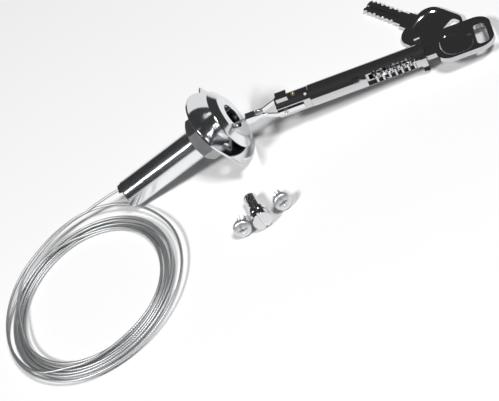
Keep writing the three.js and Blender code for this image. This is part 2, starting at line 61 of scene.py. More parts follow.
# ---------- where the pieces lie ----------
def place(origin, x_axis, y_axis):
    """A frame with its origin in millimetres and two of its directions."""
    x = Vector(x_axis).normalized()
    y = (Vector(y_axis) - x * x.dot(Vector(y_axis))).normalized()
    z = x.cross(y)
    turn = Matrix((x, y, z)).transposed().to_4x4()
    return Matrix.Translation(Vector(origin) * MM) @ turn


LAYOUT_CENTRE = Vector((41.2, 33.5, 0))
THREAD_D = 16.2
BARREL_TILT = math.radians(11.8)
BARREL_TIP = Vector((-61, 36.8, THREAD_D / 2 * math.cos(BARREL_TILT))) - LAYOUT_CENTRE
BARREL = place(BARREL_TIP, (math.cos(BARREL_TILT), 0, math.sin(BARREL_TILT)), (0, 1, 0))

ROD_START = Vector((13.9, 36.5, 17)) - LAYOUT_CENTRE
ROD_END = Vector((110.7, 27.6, 8.6)) - LAYOUT_CENTRE
ROD_NECK = 18
ROD_AIM = (ROD_END - ROD_START).normalized()
ROD = place(ROD_START + ROD_AIM * ROD_NECK, ROD_AIM, Vector((0, 0, 1)).cross(ROD_AIM))
KEY_TURN = math.radians(-8)
BLADE = ROD @ Matrix.Rotation(KEY_TURN, 4, "X")
ROD_L = 78.6
GAP = 0.3

BLADE_T = 2.5
BLADE_L = 28.9
KEY = BLADE @ Matrix.Translation(Vector((ROD_L + GAP, 0, -BLADE_T / 2)) * MM)
SPARE_AIM = math.radians(-58.2)
SPARE_WAY = Vector((math.cos(SPARE_AIM), math.sin(SPARE_AIM), 0))
SPARE_TIP = Vector((91.6, 89.8, 0)) - LAYOUT_CENTRE
SPARE = place(SPARE_TIP + SPARE_WAY * BLADE_L, SPARE_WAY, (-SPARE_WAY.y, SPARE_WAY.x, 0))

SCREW_HEAD_D = 9.4
SCREW_HEAD_T = 3
SCREW_D = 4.8
SCREW_L = 9
SCREW_TILT = math.atan2((SCREW_HEAD_D - SCREW_D) / 2, SCREW_L - 1)
SCREW_LIFT = SCREW_HEAD_T * math.sin(SCREW_TILT) + SCREW_HEAD_D / 2 * math.cos(SCREW_TILT)
SCREWS = {
    "1": (Vector((-5.7, -21.9, SCREW_LIFT)) - LAYOUT_CENTRE, math.radians(90)),
    "2": (Vector((18, -17.6, SCREW_LIFT)) - LAYOUT_CENTRE, math.radians(106)),
}

# The route of the free stretch of cable, from the yoke to the coil.
CABLE_POINTS = [
    (14.3, 36.46, 16.97),
    (11.6, 36.6, 17.35),
    (6, 36.7, 17.15),
    (-1, 36.9, 15.8),
    (-15, 37.2, 13),
    (-32, 38, 11.6),
    (-46, 39.2, 11.5),
    (-60.4, 40.2, 11.2),
    (-70, 41.1, 10),
    (-80, 41.8, 8),
    (-87.5, 41.6, 6.4),
]
COIL_AT = Vector((-91.3, -11.1, 0)) - LAYOUT_CENTRE

# The loose turns of the coil, as degrees wound, radius and height of the cable's middle.
LOOSE_TURNS = [
    (86, 52.8, 6.4),
    (130, 51.3, 5.6),
    (200, 50.4, 4.6),
    (270, 51.4, 3.2),
    (330, 51.3, 3.2),
    (385, 51.4, 4.2),
    (440, 53.4, 6.1),
    (490, 48.5, 6.2),
    (545, 41.2, 4.8),
    (600, 39.7, 2.6),
    (700, 40.2, 2.3),
    (800, 41.0, 2.5),
    (850, 45.0, 4.2),
    (905, 51.0, 3.4),
    (935, 49.5, 4.6),
    (970, 43.5, 4.8),
    (1010, 40.2, 3.2),
    (1070, 39.3, 0.8),
]
# The turns that lie in the bundle, one slot each, as radius and height.
BUNDLE_SLOTS = [(41.2, 0.8), (42.9, 0.8), (44.6, 0.8), (46.3, 0.8), (45.5, 2.25), (47.3, 2.3)]


# ---------- sizes and colours a user would change ----------
class LockSetThread(bpy.types.PropertyGroup):
    """The barrel's thread."""

    pitch: bpy.props.FloatProperty(
        name="Pitch",
        description="Distance from crest to crest of the barrel's thread",
        default=1.25 * MM,
        unit="LENGTH",
    )
    depth: bpy.props.FloatProperty(
        name="Depth",
        description="Height of the thread from root to crest",
        default=0.8 * MM,
        unit="LENGTH",
    )


class LockSetCable(bpy.types.PropertyGroup):
    """The steel cable."""

    diameter: bpy.props.FloatProperty(
        name="Diameter",
        description="Outside diameter of the cable",
        default=1.5 * MM,
        unit="LENGTH",
    )
    strands: bpy.props.IntProperty(
        name="Strands",
        description="Number of outer strands",
        default=7,
    )
    lay_length: bpy.props.FloatProperty(
        name="Lay length",
        description="Length in which a strand goes once round",
        default=9 * MM,
        unit="LENGTH",
    )


class LockSetEdges(bpy.types.PropertyGroup):
    """How far the metal's edges are broken."""

    plate: bpy.props.FloatProperty(
        name="Pressed parts",
        description="Edge rounding of the plate, the yoke and the wafers",
        default=0.12 * MM,
        unit="LENGTH",
    )
    turned: bpy.props.FloatProperty(
        name="Turned parts",
        description="Edge rounding of the plug, sleeve, nut and connector",
        default=0.22 * MM,
        unit="LENGTH",
    )
    key: bpy.props.FloatProperty(
        name="Keys",
        description="Edge rounding of the two keys",
        default=0.55 * MM,
        unit="LENGTH",
    )
    panel: bpy.props.FloatProperty(
        name="Pressed panel",
        description="Depth of the panel pressed into each side of a key's bow",
        default=0.95 * MM,
        unit="LENGTH",
    )


class LockSetFinish(bpy.types.PropertyGroup):
    """The colours of the metals."""

    chrome: bpy.props.FloatVectorProperty(
        name="Chrome",
        description="Colour of the barrel, plate and yoke",
        subtype="COLOR",
        default=(0.55, 0.56, 0.57),
    )
    nickel: bpy.props.FloatVectorProperty(
        name="Dark nickel",
        description="Colour of the lock rod and the nut",
        subtype="COLOR",
        default=(0.46, 0.46, 0.47),
    )
    satin: bpy.props.FloatVectorProperty(
        name="Satin nickel",
        description="Colour of the nut",
        subtype="COLOR",
        default=(0.5, 0.5, 0.5),
    )
    key: bpy.props.FloatVectorProperty(
        name="Key nickel",
        description="Colour of the keys",
        subtype="COLOR",
        default=(0.72, 0.72, 0.73),
    )
    steel: bpy.props.FloatVectorProperty(
        name="Bright steel",
        description="Colour of the pins, springs and screws",
        subtype="COLOR",
        default=(0.8, 0.8, 0.81),
    )
    rope: bpy.props.FloatVectorProperty(
        name="Rope steel",
        description="Colour of the cable's wires",
        subtype="COLOR",
        default=(0.5, 0.51, 0.52),
    )
    brass: bpy.props.FloatVectorProperty(
        name="Brass",
        description="Colour of the detent ball",
        subtype="COLOR",
        default=(0.62, 0.47, 0.22),
    )


class LockSetStage(bpy.types.PropertyGroup):
    """The floor and the lights."""

    floor: bpy.props.FloatVectorProperty(
        name="Floor",
        description="Colour of the table top",
        subtype="COLOR",
        default=(0.9, 0.9, 0.9),
    )
    left_power: bpy.props.FloatProperty(
        name="Left light",
        description="Power of the soft light in front on the left",
        default=37,
        unit="POWER",
    )
    right_power: bpy.props.FloatProperty(
        name="Right light",
        description="Power of the soft light in front on the right",
        default=37,
        unit="POWER",
    )
    sky: bpy.props.FloatProperty(
        name="Room",
        description="Strength of the light from the dim room around",
        default=0.045,
    )


def settings():
    return bpy.context.scene.lock_set_sizes


# ---------- mesh helpers ----------
def new_piece(name, mesh, body, slot, replaced=(), sharp=35, look=None):
    """Links a finished mesh as a piece that rides on a body and takes a finish."""
    mesh.name = name
    for polygon in mesh.polygons:
        polygon.use_smooth = True
    mesh.set_sharp_from_angle(angle=math.radians(sharp))
    mesh = evened(mesh)
    mesh.name = name
    mesh.materials.clear()
    mesh.materials.append(finish(look or slot))
    piece = bpy.data.objects.new(name, mesh)
    bpy.context.scene.collection.objects.link(piece)
    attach(piece, body)
    if replaced:
        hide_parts(*replaced)
    return piece


def evened(mesh):
    """The mesh with normals led by its large faces, so that rounded edges don't bend the shine."""
    piece = bpy.data.objects.new("even_body", mesh)
    bpy.context.scene.collection.objects.link(piece)
    modifier = piece.modifiers.new("even", "WEIGHTED_NORMAL")
    modifier.weight = 100
    modifier.keep_sharp = True
    bpy.context.view_layer.update()
    depsgraph = bpy.context.evaluated_depsgraph_get()
    result = bpy.data.meshes.new_from_object(piece.evaluated_get(depsgraph))
    bpy.data.objects.remove(piece)
    return result


def mesh_of(bm, name="work"):
    bmesh.ops.recalc_face_normals(bm, faces=bm.faces)
    mesh = bpy.data.meshes.new(name)
    bm.to_mesh(mesh)
    bm.free()
    return mesh


def ring_grid(rings, closed_along=False, caps=True):
    """One closed skin over rings that all have the same number of points."""
    bm = bmesh.new()
    rows = [[bm.verts.new(p) for p in ring] for ring in rings]
    n = len(rows[0])
    pairs = list(zip(rows, rows[1:]))
    if closed_along:
        pairs.append((rows[-1], rows[0]))
    for a, b in pairs:
        for i in range(n):
            j = (i + 1) % n
            bm.faces.new((a[i], a[j], b[j], b[i]))
    if caps and not closed_along:
        bm.faces.new(reversed(rows[0]))
        bm.faces.new(rows[-1])
    return bm


def turned(profile, sides, at):
    """A turned solid about the X axis of a place, from (x, radius) points in millimetres."""
    rings = []
    for x, r in profile:
        ring = []
        for i in range(sides):
            a = i / sides * TURN
            ring.append(at @ (Vector((x, r * math.cos(a), r * math.sin(a))) * MM))
        rings.append(ring)
    return ring_grid(rings)


def tube(points, radius, sides=8):
    """A round wire along points."""
    points = [Vector(p) for p in points]
    rings = []
    side = None
    for i, p in enumerate(points):
        ahead = points[min(i + 1, len(points) - 1)] - points[max(i - 1, 0)]
        ahead.normalize()
        if side is None:
            side = ahead.orthogonal().normalized()
        side = (side - ahead * side.dot(ahead)).normalized()
        up = ahead.cross(side)
        rings.append(
            [
                p + (side * math.cos(a) + up * math.sin(a)) * radius
                for a in (k / sides * TURN for k in range(sides))
            ]
        )
    return ring_grid(rings)


def softened(node, width, segments=2):
    """A copy of a CAD node's mesh with whole faces and rounded edges."""
    bm = bmesh.new()
    bm.from_mesh(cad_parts[node].data)
    bmesh.ops.remove_doubles(bm, verts=bm.verts, dist=2e-6)
    bmesh.ops.dissolve_limit(
        bm,
        angle_limit=math.radians(1.5),
        verts=bm.verts,
        edges=bm.edges,
    )
    edges = [
        e
        for e in bm.edges
        if len(e.link_faces) == 2 and e.calc_face_angle(0) > math.radians(28)
    ]
    bmesh.ops.bevel(
        bm,
        geom=edges,
        offset=width,
        offset_type="OFFSET",
        segments=segments,
        profile=0.5,
        affect="EDGES",
        clamp_overlap=True,
    )
    bmesh.ops.remove_doubles(bm, verts=bm.verts, dist=1e-6)
    return bm


def cut(mesh, cutters):
    """The mesh with the cutters' shapes taken away."""
    body = bpy.data.objects.new("cut_body", mesh)
    bpy.context.scene.collection.objects.link(body)
    made = [body]
    for cutter in cutters:
        tool = bpy.data.objects.new("cut_tool", cutter)
        bpy.context.scene.collection.objects.link(tool)
        modifier = body.modifiers.new("cut", "BOOLEAN")
        modifier.operation = "DIFFERENCE"
        modifier.solver = "EXACT"
        modifier.object = tool
        made.append(tool)
    bpy.context.view_layer.update()
    depsgraph = bpy.context.evaluated_depsgraph_get()
    result = bpy.data.meshes.new_from_object(body.evaluated_get(depsgraph))
    for o in made:
        bpy.data.objects.remove(o)
    return result


# ---------- finishes ----------
def finish(slot):
    return bpy.data.materials.get(slot) or FINISHES[slot](slot)


def metal(name, colour, smooth, rough, grain, bump, stretch=(1, 1, 1), tint=0.06):
    """A metal whose polish varies, with fine brushing and small colour changes."""
    material = bpy.data.materials.new(name)
    material.use_nodes = True
    nodes, links = material.node_tree.nodes, material.node_tree.links
    shader = nodes["Principled BSDF"]
    shader.inputs["Metallic"].default_value = 1.0
    where = nodes.new("ShaderNodeTexCoord")
    mapping = nodes.new("ShaderNodeMapping")
    mapping.inputs["Scale"].default_value = stretch
    links.new(where.outputs["Object"], mapping.inputs["Vector"])

    cloud = nodes.new("ShaderNodeTexNoise")
    cloud.inputs["Scale"].default_value = 90
    cloud.inputs["Detail"].default_value = 4
    links.new(where.outputs["Object"], cloud.inputs["Vector"])

    fine = nodes.new("ShaderNodeTexNoise")
    fine.inputs["Scale"].default_value = grain
    fine.inputs["Detail"].default_value = 2
    links.new(mapping.outputs["Vector"], fine.inputs["Vector"])

    colours = nodes.new("ShaderNodeValToRGB")
    colours.color_ramp.elements[0].position = 0.3
    colours.color_ramp.elements[1].position = 0.7
    colours.color_ramp.elements[0].color = (*[c * (1 - tint) for c in colour], 1)
    colours.color_ramp.elements[1].color = (*[min(1, c * (1 + tint)) for c in colour], 1)
    links.new(cloud.outputs["Fac"], colours.inputs["Fac"])
    links.new(colours.outputs["Color"], shader.inputs["Base Color"])

    polish = nodes.new("ShaderNodeMapRange")
    polish.inputs["From Min"].default_value = 0.3
    polish.inputs["From Max"].default_value = 0.7
    polish.inputs["To Min"].default_value = smooth
    polish.inputs["To Max"].default_value = rough
    links.new(fine.outputs["Fac"], polish.inputs["Value"])
    links.new(polish.outputs["Result"], shader.inputs["Roughness"])

    relief = nodes.new("ShaderNodeBump")
    relief.inputs["Strength"].default_value = bump
    relief.inputs["Distance"].default_value = 0.02 * MM
    links.new(fine.outputs["Fac"], relief.inputs["Height"])
    links.new(relief.outputs["Normal"], shader.inputs["Normal"])
    return material


def bright_chrome(name):
    return metal(name, settings().finish.chrome, 0.04, 0.1, 700, 0.1)


def dark_nickel(name):
    return metal(name, settings().finish.nickel, 0.04, 0.11, 700, 0.12, (1, 3, 3))


def satin_nickel(name):
    return metal(name, settings().finish.satin, 0.34, 0.44, 1200, 0.3, tint=0.04)


def key_nickel(name):
    return metal(name, settings().finish.key, 0.1, 0.2, 900, 0.15, (1, 4, 4))


def fitting_chrome(name):
    return metal(name, settings().finish.chrome, 0.06, 0.15, 800, 0.15)


def bright_steel(name):
    return metal(name, settings().finish.steel, 0.1, 0.22, 900, 0.2)


def brass_finish(name):
    return metal(name, settings().finish.brass, 0.18, 0.32, 1500, 0.3, tint=0.12)


def steel_rope(name):
    return metal(name, settings().finish.rope, 0.1, 0.22, 1200, 0.2, tint=0.12)


FINISHES = {
    "bright_chrome": bright_chrome,
    "dark_nickel": dark_nickel,
    "satin_nickel": satin_nickel,
    "key_nickel": key_nickel,
    "fitting_chrome": fitting_chrome,
    "bright_steel": bright_steel,
    "brass": brass_finish,
    "steel_rope": steel_rope,
}


# ---------- camera ----------
CAMERA_AZIMUTH = math.radians(16)
CAMERA_ELEVATION = math.radians(43)
CAMERA_ROLL = math.radians(38)
CAMERA_DISTANCE = 0.7
CAMERA_LENS = 101


class LOCKSET_OT_camera(bpy.types.Operator):
    """Sets the camera above the table, rolled so that the set runs from corner to corner"""

    bl_idname = "lockset.camera"
    bl_label = "Camera"

    def execute(self, context):
        across = Vector((math.cos(CAMERA_AZIMUTH), math.sin(CAMERA_AZIMUTH), 0))
        back = Vector(
            (
                math.cos(CAMERA_ELEVATION) * math.sin(CAMERA_AZIMUTH),
                -math.cos(CAMERA_ELEVATION) * math.cos(CAMERA_AZIMUTH),
                math.sin(CAMERA_ELEVATION),
            )
        )
        up = back.cross(across)
        right = across * math.cos(CAMERA_ROLL) - up * math.sin(CAMERA_ROLL)
        above = across * math.sin(CAMERA_ROLL) + up * math.cos(CAMERA_ROLL)
        data = bpy.data.cameras.new("camera")
        data.lens = CAMERA_LENS
        data.sensor_width = 36
        data.clip_start = 0.01
        camera = bpy.data.objects.new("camera", data)
        target = Vector((-LAYOUT_CENTRE.x, -LAYOUT_CENTRE.y, 0)) * MM
        turn = Matrix((right, above, back)).transposed().to_4x4()
        camera.matrix_world = Matrix.Translation(target + back * CAMERA_DISTANCE) @ turn
        context.scene.collection.objects.link(camera)
        context.scene.camera = camera
        return {"FINISHED"}


# ---------- cable ----------
def curve_point(a, b, c, d, t):
    """A point at t between b and c, on the Catmull-Rom curve through a, b, c and d."""
    bend = a * 2 - b * 5 + c * 4 - d
    twist = b * 3 - a - c * 3 + d
    return (b * 2 + (c - a) * t + bend * t * t + twist * t ** 3) / 2


def smooth_route(points, per_span):
    """A Catmull-Rom curve through points."""
    ends = [points[0] * 2 - points[1], *points, points[-1] * 2 - points[-2]]
    route = []
    for a, b, c, d in zip(ends, ends[1:], ends[2:], ends[3:]):
        for k in range(per_span):
            route.append(curve_point(a, b, c, d, k / per_span))
    route.append(points[-1])
    return route


def coil_route(step=4):
    """The middle of the cable round the coil: loose turns first, then the bundle."""
    controls = list(LOOSE_TURNS)
    wound = controls[-1][0] + 40
    for k, (radius, height) in enumerate(BUNDLE_SLOTS):
        controls.append((wound + 25 * (k % 3), radius, height))
        controls.append((wound + 290 + 15 * (k % 2), radius, height))
        wound += 360
    route = []
    for (a0, r0, z0), (a1, r1, z1) in zip(controls, controls[1:]):
        count = max(1, round((a1 - a0) / step))
        for k in range(count):
            t = k / count
            ease = t * t * (3 - 2 * t)
            route.append((a0 + (a1 - a0) * t, r0 + (r1 - r0) * ease, z0 + (z1 - z0) * ease))
    points = []
    for angle, radius, height in route[1:]:
        a = math.radians(angle)
        held = min(1, max(0, (51 - radius) / 8))
        settle = min(1, (angle - 86) / 40)
        radius += held * 1.3 * math.cos(a - math.radians(185))
        radius += settle * (0.35 * math.sin(2 * a + 0.6) + 0.2 * math.sin(3 * a + 2))
        radius += settle * 0.15 * math.sin(a * 0.37 * 5)
        points.append(COIL_AT + Vector((radius * math.cos(a), radius * math.sin(a), height)))
    return points


def spaced(points, step):
    """Points the same distance apart along a line."""
    line = np.array([tuple(p) for p in points])
    along = np.concatenate([[0], np.cumsum(np.linalg.norm(np.diff(line, axis=0), axis=1))])
    count = max(2, round(along[-1] / step))
    at = np.linspace(0, along[-1], count + 1)
    return np.stack([np.interp(at, along, line[:, k]) for k in range(3)], axis=1), along[-1]


class LOCKSET_OT_cable(bpy.types.Operator):
    """Winds the stranded cable from the yoke, through the barrel, into its coil"""

    bl_idname = "lockset.cable"
    bl_label = "Cable"

    def execute(self, context):
        cable = settings().cable
        lead = smooth_route([Vector(p) - LAYOUT_CENTRE for p in CABLE_POINTS], 8)
        line = [p * MM for p in lead + coil_route()]
        centres, length = spaced(line, 1.1 * MM)
        radius = cable.diameter / 2
        per_strand = 3
        sides = cable.strands * per_strand
        rings = []
        side = None
        for i, centre in enumerate(centres):
            ahead = Vector(centres[min(i + 1, len(centres) - 1)] - centres[max(i - 1, 0)])
            ahead.normalize()
            side = ahead.orthogonal().normalized() if side is None else side
            side = (side - ahead * side.dot(ahead)).normalized()
            up = ahead.cross(side)
            twist = i * (length / (len(centres) - 1)) / cable.lay_length * TURN
            ring = []
            for k in range(sides):
                a = k / sides * TURN + twist
                reach = radius if k % per_strand else radius * 0.84
                ring.append(Vector(centre) + (side * math.cos(a) + up * math.sin(a)) * reach)
            rings.append(ring)
        mesh = mesh_of(ring_grid(rings))
        rope = new_piece("cable", mesh, "barrel", "steel_rope", ["cable_lead", "cable_coil"], 60)
        return {"FINISHED"}


# ---------- barrel ----------
THREAD_FLATS = 13.6
FLAT_TURN = math.radians(8)
BARREL_BORE = 12.4
BARREL_L = 69.3
HEAD_BACK_D = 34
HEAD_FRONT_D = 24.8
HEAD_EDGE_T = 0.8
HEAD_H = 3.4
MOUTH_D = 13.4
MOUTH_DEPTH = 5
TIP_NOTCH_W = 6.4
TIP_NOTCH_L = 1.8
TIP_NOTCH_TURN = math.radians(53)
BARREL_SIDES = 180


def thread_radius(x, angle, pitch, depth):
    """The barrel's outside at a place along and round it: a helix cut down by two flats."""
    crest = THREAD_D / 2
    phase = (x / pitch - angle / TURN) % 1
    slope = min(1, max(0, abs(2 * phase - 1) * 1.3 - 0.15))
    run_out = min(1, max(0, (BARREL_L - 1.2 - x) / 1.5)) * min(1, max(0.2, x / 1.2))
    radius = crest - depth * slope * run_out
    facing = abs(math.cos(angle - FLAT_TURN))
    return min(radius, THREAD_FLATS / 2 / max(facing, 1e-3))


class LOCKSET_OT_barrel(bpy.types.Operator):
    """Cuts the barrel's thread and flats and turns its flanged head"""

    bl_idname = "lockset.barrel"
    bl_label = "Threaded barrel"

    def execute(self, context):
        pitch = settings().thread.pitch / MM
        depth = settings().thread.depth / MM
        steps = round(BARREL_L / pitch * 7)
        head = BARREL_L + HEAD_H
        back, front = HEAD_BACK_D / 2, HEAD_FRONT_D / 2
        bore, mouth = BARREL_BORE / 2, MOUTH_D / 2
        after = [
            (BARREL_L, THREAD_D / 2 + 0.25),
            (BARREL_L, back - 0.25),
            (BARREL_L + 0.12, back - 0.06),
            (BARREL_L + 0.3, back),
            (BARREL_L + HEAD_EDGE_T - 0.2, back),
            (BARREL_L + HEAD_EDGE_T, back - 0.25),
            (head - 0.25, front + 0.42),
            (head - 0.06, front + 0.1),
            (head, front - 0.3),
            (head, mouth + 0.5),
            (head - 0.12, mouth + 0.15),
            (head - 0.45, mouth),
            (head - MOUTH_DEPTH, mouth),
            (head - MOUTH_DEPTH - 0.3, bore),
            (0.3, bore),
            (0, bore + 0.25),
        ]
        rings = []
        for i in range(steps + 1):
            x = i / steps * BARREL_L
            rings.append([(x, None)] * BARREL_SIDES)
        rings += [[p] * BARREL_SIDES for p in after]
        made = []
        for ring in rings:
            out = []
            for k, (x, r) in enumerate(ring):
                a = k / BARREL_SIDES * TURN
                r = thread_radius(x, a, pitch, depth) if r is None else r
                for turn in (TIP_NOTCH_TURN, TIP_NOTCH_TURN + TURN / 4):
                    if abs(r * math.sin(a - turn)) > TIP_NOTCH_W / 2:
                        continue
                    x = max(x, TIP_NOTCH_L)
                out.append(BARREL @ (Vector((x, r * math.cos(a), r * math.sin(a))) * MM))
            made.append(out)
        mesh = mesh_of(ring_grid(made, closed_along=True))
        new_piece("barrel_body", mesh, "barrel", "bright_chrome", ["threaded_barrel"], 40)
        return {"FINISHED"}


# ---------- nut, plate, rod and other machined parts ----------
SOFTENED = {
    "hex_nut": ("nut", "dark_nickel", "turned"),
    "face_plate": ("barrel", "bright_chrome", "plate"),
    "lock_plug": ("lock_rod", "dark_nickel", "turned"),
    "tail_sleeve": ("lock_rod", "dark_nickel", "turned"),
    "retainer_catch": ("catch", "dark_nickel", "turned"),
    "cable_yoke": ("lock_rod", "bright_chrome", "plate"),
    "tail_pin": ("lock_rod", "bright_steel", "plate"),
    "yoke_pin": ("lock_rod", "bright_steel", "plate"),
    "connector_body": ("connector", "fitting_chrome", "turned"),
    "clamp_screw": ("clamp_screw", "fitting_chrome", "turned"),
}
WAFERS = 7


class LOCKSET_OT_machined(bpy.types.Operator):
    """Breaks the edges of the nut, plate, plug, sleeve, catch, yoke, pins and connector"""

    bl_idname = "lockset.machined"
    bl_label = "Machined parts"

    def execute(self, context):
        edges = settings().edges
        for node, (body, slot, kind) in SOFTENED.items():
            mesh = mesh_of(softened(node, getattr(edges, kind)))
            look = "satin_nickel" if node == "hex_nut" else slot
            new_piece(node + "_finished", mesh, body, slot, [node], look=look)
        return {"FINISHED"}


class LOCKSET_OT_wafers(bpy.types.Operator):
    """Breaks the edges of the seven wafers"""

    bl_idname = "lockset.wafers"
    bl_label = "Wafers"

    def execute(self, context):
        for i in range(1, WAFERS + 1):
            node = f"wafer_{i}"
            mesh = mesh_of(softened(node, settings().edges.plate))
            new_piece(node + "_finished", mesh, node, "dark_nickel", [node])
        return {"FINISHED"}


# ---------- springs and ball ----------
WAFER_PITCH = 3.27
WAFER_FIRST = 52.6
WAFER_STEP = 0.6
WAFER_SHOULDER = 2
SPRING_D = 1
SPRING_L = 3.2
SPRING_WIRE = 0.22
BALL_D = 2.6
BALL_AT = 10.1
BALL_Z = 11.2 / 2 + 0.7 - BALL_D / 2
BALL_SPRING_TOP = BALL_Z - BALL_D / 2 - 0.6 - GAP
BALL_SPRING_L = 3.2
BALL_SPRING_D = 1.8


def helix(at, length, diameter, wire, turns, sides=7):
    """A coil spring along the X axis of a place, closed up at its two ends."""
    points = []
    count = turns * 16
    reach = (diameter - wire) / 2
    for k in range(count + 1):
        t = k / count
        eased = t + 0.35 * math.sin(TURN * t) / TURN
        x = -length / 2 + wire / 2 + (length - wire) * eased
        a = t * turns * TURN
        points.append(at @ (Vector((x, reach * math.cos(a), reach * math.sin(a))) * MM))
    return tube(points, wire / 2 * MM, sides)


class LOCKSET_OT_springs(bpy.types.Operator):
    """Winds the seven wafer springs and the spring under the detent ball"""

    bl_idname = "lockset.springs"
    bl_label = "Springs"

    def execute(self, context):
        for i in range(WAFERS):
            side = -1 if i % 2 == 0 else 1
            middle = Vector(
                (
                    WAFER_FIRST + i * WAFER_PITCH,
                    -side * (WAFER_STEP + GAP + SPRING_L / 2),
                    side * (WAFER_SHOULDER + GAP + SPRING_D / 2),
                )
            )
            at = BLADE @ Matrix.Translation(middle * MM) @ Matrix.Rotation(TURN / 4, 4, "Z")
            mesh = mesh_of(helix(at, SPRING_L, SPRING_D, SPRING_WIRE, 8))
            node = f"wafer_spring_{i + 1}"
            new_piece(node + "_wound", mesh, "lock_rod", "bright_steel", [node])
        middle = Vector((BALL_AT, 0, BALL_SPRING_TOP - BALL_SPRING_L / 2))
        at = ROD @ Matrix.Translation(middle * MM) @ Matrix.Rotation(TURN / 4, 4, "Y")
        mesh = mesh_of(helix(at, BALL_SPRING_L, BALL_SPRING_D, 0.3, 7))
        new_piece("detent_spring_wound", mesh, "lock_rod", "bright_steel", ["detent_spring"])
        return {"FINISHED"}


class LOCKSET_OT_ball(bpy.types.Operator):
    """Rounds the brass detent ball, with the small flat that its press leaves"""

    bl_idname = "lockset.ball"
    bl_label = "Detent ball"

    def execute(self, context):
        r = BALL_D / 2
        profile = []
        for k in range(1, 20):
            a = k / 20 * math.pi
            profile.append((BALL_AT - r * math.cos(a), r * math.sin(a)))
        at = ROD @ Matrix.Translation(Vector((0, 0, BALL_Z)) * MM)
        new_piece("detent_ball_round", mesh_of(turned(profile, 36, at)), "ball", "brass", ["detent_ball"], 60)
        return {"FINISHED"}


class LOCKSET_OT_stop(bpy.types.Operator):
    """Swages the stop on the cable's end inside the yoke"""

    bl_idname = "lockset.stop"
    bl_label = "Cable stop"

    def execute(self, context):
        mesh = mesh_of(softened("cable_stop", 0.1 * MM))
        new_piece("cable_stop_swaged", mesh, "lock_rod", "steel_rope", ["cable_stop"])
        return {"FINISHED"}


# ---------- keys ----------
# The panel pressed into the bow, as its outline from the shoulder, in order round it.
PANEL_OUTLINE = [
    (7.6, 0.5),
    (8.6, 5.4),
    (11.5, 7.1),
    (15, 6.6),
    (17.8, 5.2),
    (20.4, 3.1),
    (22.6, 1.5),
    (24.6, 0.6),
    (24.3, -3.5),
    (23.6, -8),
    (21.1, -10.9),
    (17, -11.6),
    (13.2, -11),
    (9.6, -8.4),
    (7.8, -4.5),
]
RIM_W = 2.2
# The rings of the panel's sloping rim: outwards from the outline in rim widths, and level in panel depths.
RIM_RINGS = ((0.2, 0.35), (0, 0), (-0.22, -0.5), (-0.45, -0.82), (-0.8, -1))
PANEL_SPAN_STEPS = 5
# The groove milled along each face of the blade.
GROOVE_ACROSS = 0.9
GROOVE_W = 2.2
GROOVE_DEPTH = 0.65


def panel_cutter(outline, at, mirror, face, out, depth):
    """A shallow cutter with a sloping rim, sunk into one face of a key."""
    middle = Vector((sum(p[0] for p in outline), sum(p[1] for p in outline))) / len(outline)
    count = len(outline)
    fine = []
    for i in range(count):
        a, b, c, d = (Vector(outline[(i + k) % count]) for k in (-1, 0, 1, 2))
        for k in range(PANEL_SPAN_STEPS):
            fine.append(curve_point(a, b, c, d, k / PANEL_SPAN_STEPS))
    rings = []
    for grow, level in RIM_RINGS:
        ring = []
        for p in fine:
            away = (p - middle).normalized()
            q = p + away * grow * RIM_W
            z = face + out * level * depth
            ring.append(at @ (Vector((q.x, q.y * mirror, z)) * MM))
        rings.append(ring)
    return mesh_of(ring_grid(rings))


def groove_cutter(at, mirror, face, out, across, width, depth):
    """A milled groove along a blade, with sloping sides."""
    rings = []
    for x in (-BLADE_L - 1, 3.5):
        half, low = width / 2, width / 2 - 0.35
        section = [
            (across - half - 0.2, 0.3),
            (across - low, -depth),
            (across + low, -depth),
            (across + half + 0.2, 0.3),
        ]
        rings.append([at @ (Vector((x, y * mirror, face + out * z)) * MM) for y, z in section])
    return mesh_of(ring_grid(rings))


class LOCKSET_OT_keys(bpy.types.Operator):
    """Presses the bow's panels and mills the blade's grooves on both keys"""

    bl_idname = "lockset.keys"
    bl_label = "Keys"

    def execute(self, context):
        edges = settings().edges
        for node, at, mirror, body in (("key", KEY, 1, "key"), ("spare_key", SPARE, -1, "spare_key")):
            mesh = mesh_of(softened(node, edges.key, 4))
            cutters = []
            for face, out in ((BLADE_T, 1), (0, -1)):
                cutters.append(panel_cutter(PANEL_OUTLINE, at, mirror, face, out, edges.panel / MM))
                across = GROOVE_ACROSS * out
                cutters.append(groove_cutter(at, mirror, face, out, across, GROOVE_W, GROOVE_DEPTH))
            new_piece(node + "_cut", cut(mesh, cutters), body, "key_nickel", [node], 30)
        return {"FINISHED"}


# ---------- mounting screws ----------
SCREW_PITCH = 1.1
DRIVE_DEPTH = 1.5
SCREW_SIDES = 72
# Steps over the crown of the pan head, from its middle outwards.
CROWN_STEPS = (0.02, 0.06, 0.15, 0.3, 0.5, 0.7, 0.9)


